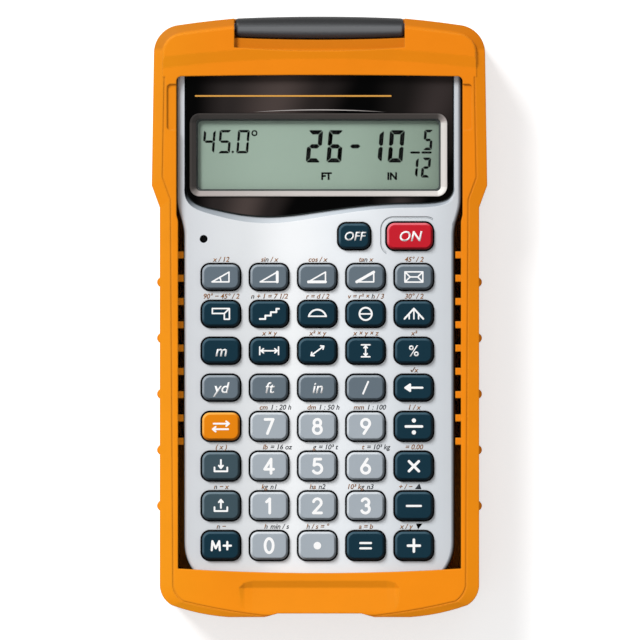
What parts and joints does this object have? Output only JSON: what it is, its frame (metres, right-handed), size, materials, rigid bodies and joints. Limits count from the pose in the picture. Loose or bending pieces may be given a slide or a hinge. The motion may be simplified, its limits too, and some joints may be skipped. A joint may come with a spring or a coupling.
{
  "type": "construction calculator",
  "caption": "Handheld construction calculator in a rugged case, with display window, keypad that presses in, and a folding tilt stand.",
  "frame": {"origin": "centre of the whole part's footprint, on the plane that its back rests on", "axes": "+Y towards the display end, +Z out of the keypad face, +X to the right when facing the keys"},
  "size_m": [0.0788, 0.1412, 0.021],
  "materials": {
    "orange_case": "satin",
    "dark_stand": "satin",
    "steel_pin": "satin",
    "silver_housing": "satin metallic paint",
    "rear_housing": "fine texture",
    "black_panel": "gloss",
    "window_frame": "satin metallic paint",
    "clear_window": "polished",
    "display_cell": "satin polariser",
    "connector_strip": "matt",
    "board": "satin",
    "chip_cap": "gloss",
    "silicone_mat": "matt",
    "coin_cell": "brushed",
    "contact_strip": "bright",
    "steel_screw": "zinc plated",
    "black_button": "matt",
    "grey_key": "fine texture",
    "navy_key": "fine texture",
    "slate_key": "fine texture",
    "number_key": "fine texture",
    "orange_key": "fine texture",
    "red_key": "fine texture"
  },
  "bodies": {
    "calculator": {"case_shell": "orange_case", "stand_pin": "steel_pin", "front_shell": "silver_housing", "rear_shell": "rear_housing", "display_bezel": "black_panel", "display_frame": "window_frame", "display_window": "clear_window", "lcd_panel": "display_cell", "lcd_connectors": "connector_strip", "circuit_board": "board", "processor": "chip_cap", "key_mat": "silicone_mat", "battery": "coin_cell", "battery_contacts": "contact_strip", "housing_screws": "steel_screw"},
    "tilt_stand": {"tilt_stand": "dark_stand"},
    "battery_door": {"battery_door": "rear_housing"},
    "reset_button": {"reset_button": "black_button"},
    "key_pitch": {"key_pitch": "grey_key"},
    "key_rise": {"key_rise": "grey_key"},
    "key_run": {"key_run": "grey_key"},
    "key_diagonal": {"key_diagonal": "grey_key"},
    "key_hip_valley": {"key_hip_valley": "grey_key"},
    "key_yards": {"key_yards": "grey_key"},
    "key_feet": {"key_feet": "grey_key"},
    "key_inches": {"key_inches": "grey_key"},
    "key_fraction": {"key_fraction": "grey_key"},
    "key_off": {"key_off": "navy_key"},
    "key_compound_miter": {"key_compound_miter": "navy_key"},
    "key_stair": {"key_stair": "navy_key"},
    "key_arc": {"key_arc": "navy_key"},
    "key_circle": {"key_circle": "navy_key"},
    "key_jack": {"key_jack": "navy_key"},
    "key_metre": {"key_metre": "navy_key"},
    "key_length": {"key_length": "navy_key"},
    "key_width": {"key_width": "navy_key"},
    "key_height": {"key_height": "navy_key"},
    "key_percent": {"key_percent": "navy_key"},
    "key_backspace": {"key_backspace": "navy_key"},
    "key_divide": {"key_divide": "navy_key"},
    "key_times": {"key_times": "navy_key"},
    "key_minus": {"key_minus": "navy_key"},
    "key_plus": {"key_plus": "navy_key"},
    "key_equals": {"key_equals": "navy_key"},
    "key_memory_add": {"key_memory_add": "navy_key"},
    "key_store": {"key_store": "slate_key"},
    "key_recall": {"key_recall": "slate_key"},
    "key_0": {"key_0": "number_key"},
    "key_1": {"key_1": "number_key"},
    "key_2": {"key_2": "number_key"},
    "key_3": {"key_3": "number_key"},
    "key_4": {"key_4": "number_key"},
    "key_5": {"key_5": "number_key"},
    "key_6": {"key_6": "number_key"},
    "key_7": {"key_7": "number_key"},
    "key_8": {"key_8": "number_key"},
    "key_9": {"key_9": "number_key"},
    "key_point": {"key_point": "number_key"},
    "key_convert": {"key_convert": "orange_key"},
    "key_on": {"key_on": "red_key"}
  },
  "joints": [
    {"name": "press_key_pitch", "type": "slide", "parent": "calculator", "child": "key_pitch", "axis": [0, 0, -1], "range_m": [0, 0.001], "stiffness_N_per_m": 200, "deforming": ["key_mat"]},
    {"name": "press_key_rise", "type": "slide", "parent": "calculator", "child": "key_rise", "axis": [0, 0, -1], "range_m": [0, 0.001], "stiffness_N_per_m": 200, "deforming": ["key_mat"]},
    {"name": "press_key_run", "type": "slide", "parent": "calculator", "child": "key_run", "axis": [0, 0, -1], "range_m": [0, 0.001], "stiffness_N_per_m": 200, "deforming": ["key_mat"]},
    {"name": "press_key_diagonal", "type": "slide", "parent": "calculator", "child": "key_diagonal", "axis": [0, 0, -1], "range_m": [0, 0.001], "stiffness_N_per_m": 200, "deforming": ["key_mat"]},
    {"name": "press_key_hip_valley", "type": "slide", "parent": "calculator", "child": "key_hip_valley", "axis": [0, 0, -1], "range_m": [0, 0.001], "stiffness_N_per_m": 200, "deforming": ["key_mat"]},
    {"name": "press_key_yards", "type": "slide", "parent": "calculator", "child": "key_yards", "axis": [0, 0, -1], "range_m": [0, 0.001], "stiffness_N_per_m": 200, "deforming": ["key_mat"]},
    {"name": "press_key_feet", "type": "slide", "parent": "calculator", "child": "key_feet", "axis": [0, 0, -1], "range_m": [0, 0.001], "stiffness_N_per_m": 200, "deforming": ["key_mat"]},
    {"name": "press_key_inches", "type": "slide", "parent": "calculator", "child": "key_inches", "axis": [0, 0, -1], "range_m": [0, 0.001], "stiffness_N_per_m": 200, "deforming": ["key_mat"]},
    {"name": "press_key_fraction", "type": "slide", "parent": "calculator", "child": "key_fraction", "axis": [0, 0, -1], "range_m": [0, 0.001], "stiffness_N_per_m": 200, "deforming": ["key_mat"]},
    {"name": "press_key_off", "type": "slide", "parent": "calculator", "child": "key_off", "axis": [0, 0, -1], "range_m": [0, 0.001], "stiffness_N_per_m": 200, "deforming": ["key_mat"]},
    {"name": "press_key_compound_miter", "type": "slide", "parent": "calculator", "child": "key_compound_miter", "axis": [0, 0, -1], "range_m": [0, 0.001], "stiffness_N_per_m": 200, "deforming": ["key_mat"]},
    {"name": "press_key_stair", "type": "slide", "parent": "calculator", "child": "key_stair", "axis": [0, 0, -1], "range_m": [0, 0.001], "stiffness_N_per_m": 200, "deforming": ["key_mat"]},
    {"name": "press_key_arc", "type": "slide", "parent": "calculator", "child": "key_arc", "axis": [0, 0, -1], "range_m": [0, 0.001], "stiffness_N_per_m": 200, "deforming": ["key_mat"]},
    {"name": "press_key_circle", "type": "slide", "parent": "calculator", "child": "key_circle", "axis": [0, 0, -1], "range_m": [0, 0.001], "stiffness_N_per_m": 200, "deforming": ["key_mat"]},
    {"name": "press_key_jack", "type": "slide", "parent": "calculator", "child": "key_jack", "axis": [0, 0, -1], "range_m": [0, 0.001], "stiffness_N_per_m": 200, "deforming": ["key_mat"]},
    {"name": "press_key_metre", "type": "slide", "parent": "calculator", "child": "key_metre", "axis": [0, 0, -1], "range_m": [0, 0.001], "stiffness_N_per_m": 200, "deforming": ["key_mat"]},
    {"name": "press_key_length", "type": "slide", "parent": "calculator", "child": "key_length", "axis": [0, 0, -1], "range_m": [0, 0.001], "stiffness_N_per_m": 200, "deforming": ["key_mat"]},
    {"name": "press_key_width", "type": "slide", "parent": "calculator", "child": "key_width", "axis": [0, 0, -1], "range_m": [0, 0.001], "stiffness_N_per_m": 200, "deforming": ["key_mat"]},
    {"name": "press_key_height", "type": "slide", "parent": "calculator", "child": "key_height", "axis": [0, 0, -1], "range_m": [0, 0.001], "stiffness_N_per_m": 200, "deforming": ["key_mat"]},
    {"name": "press_key_percent", "type": "slide", "parent": "calculator", "child": "key_percent", "axis": [0, 0, -1], "range_m": [0, 0.001], "stiffness_N_per_m": 200, "deforming": ["key_mat"]},
    {"name": "press_key_backspace", "type": "slide", "parent": "calculator", "child": "key_backspace", "axis": [0, 0, -1], "range_m": [0, 0.001], "stiffness_N_per_m": 200, "deforming": ["key_mat"]},
    {"name": "press_key_divide", "type": "slide", "parent": "calculator", "child": "key_divide", "axis": [0, 0, -1], "range_m": [0, 0.001], "stiffness_N_per_m": 200, "deforming": ["key_mat"]},
    {"name": "press_key_times", "type": "slide", "parent": "calculator", "child": "key_times", "axis": [0, 0, -1], "range_m": [0, 0.001], "stiffness_N_per_m": 200, "deforming": ["key_mat"]},
    {"name": "press_key_minus", "type": "slide", "parent": "calculator", "child": "key_minus", "axis": [0, 0, -1], "range_m": [0, 0.001], "stiffness_N_per_m": 200, "deforming": ["key_mat"]},
    {"name": "press_key_plus", "type": "slide", "parent": "calculator", "child": "key_plus", "axis": [0, 0, -1], "range_m": [0, 0.001], "stiffness_N_per_m": 200, "deforming": ["key_mat"]},
    {"name": "press_key_equals", "type": "slide", "parent": "calculator", "child": "key_equals", "axis": [0, 0, -1], "range_m": [0, 0.001], "stiffness_N_per_m": 200, "deforming": ["key_mat"]},
    {"name": "press_key_memory_add", "type": "slide", "parent": "calculator", "child": "key_memory_add", "axis": [0, 0, -1], "range_m": [0, 0.001], "stiffness_N_per_m": 200, "deforming": ["key_mat"]},
    {"name": "press_key_store", "type": "slide", "parent": "calculator", "child": "key_store", "axis": [0, 0, -1], "range_m": [0, 0.001], "stiffness_N_per_m": 200, "deforming": ["key_mat"]},
    {"name": "press_key_recall", "type": "slide", "parent": "calculator", "child": "key_recall", "axis": [0, 0, -1], "range_m": [0, 0.001], "stiffness_N_per_m": 200, "deforming": ["key_mat"]},
    {"name": "press_key_0", "type": "slide", "parent": "calculator", "child": "key_0", "axis": [0, 0, -1], "range_m": [0, 0.001], "stiffness_N_per_m": 200, "deforming": ["key_mat"]},
    {"name": "press_key_1", "type": "slide", "parent": "calculator", "child": "key_1", "axis": [0, 0, -1], "range_m": [0, 0.001], "stiffness_N_per_m": 200, "deforming": ["key_mat"]},
    {"name": "press_key_2", "type": "slide", "parent": "calculator", "child": "key_2", "axis": [0, 0, -1], "range_m": [0, 0.001], "stiffness_N_per_m": 200, "deforming": ["key_mat"]},
    {"name": "press_key_3", "type": "slide", "parent": "calculator", "child": "key_3", "axis": [0, 0, -1], "range_m": [0, 0.001], "stiffness_N_per_m": 200, "deforming": ["key_mat"]},
    {"name": "press_key_4", "type": "slide", "parent": "calculator", "child": "key_4", "axis": [0, 0, -1], "range_m": [0, 0.001], "stiffness_N_per_m": 200, "deforming": ["key_mat"]},
    {"name": "press_key_5", "type": "slide", "parent": "calculator", "child": "key_5", "axis": [0, 0, -1], "range_m": [0, 0.001], "stiffness_N_per_m": 200, "deforming": ["key_mat"]},
    {"name": "press_key_6", "type": "slide", "parent": "calculator", "child": "key_6", "axis": [0, 0, -1], "range_m": [0, 0.001], "stiffness_N_per_m": 200, "deforming": ["key_mat"]},
    {"name": "press_key_7", "type": "slide", "parent": "calculator", "child": "key_7", "axis": [0, 0, -1], "range_m": [0, 0.001], "stiffness_N_per_m": 200, "deforming": ["key_mat"]},
    {"name": "press_key_8", "type": "slide", "parent": "calculator", "child": "key_8", "axis": [0, 0, -1], "range_m": [0, 0.001], "stiffness_N_per_m": 200, "deforming": ["key_mat"]},
    {"name": "press_key_9", "type": "slide", "parent": "calculator", "child": "key_9", "axis": [0, 0, -1], "range_m": [0, 0.001], "stiffness_N_per_m": 200, "deforming": ["key_mat"]},
    {"name": "press_key_point", "type": "slide", "parent": "calculator", "child": "key_point", "axis": [0, 0, -1], "range_m": [0, 0.001], "stiffness_N_per_m": 200, "deforming": ["key_mat"]},
    {"name": "press_key_convert", "type": "slide", "parent": "calculator", "child": "key_convert", "axis": [0, 0, -1], "range_m": [0, 0.001], "stiffness_N_per_m": 200, "deforming": ["key_mat"]},
    {"name": "press_key_on", "type": "slide", "parent": "calculator", "child": "key_on", "axis": [0, 0, -1], "range_m": [0, 0.001], "stiffness_N_per_m": 200, "deforming": ["key_mat"]},
    {"name": "press_reset", "type": "slide", "parent": "calculator", "child": "reset_button", "axis": [0, 0, -1], "range_m": [0, 0.0006], "stiffness_N_per_m": 150, "deforming": ["key_mat"]},
    {"name": "stand_hinge", "type": "hinge", "parent": "calculator", "child": "tilt_stand", "pos_m": [0, 0.06795, 0.0183], "axis": [1, 0, 0], "range_deg": [0, 70]},
    {"name": "battery_door_hinge", "type": "hinge", "parent": "calculator", "child": "battery_door", "pos_m": [0, -0.02655, 0.00495], "axis": [1, 0, 0], "range_deg": [0, 60]}
  ]
}
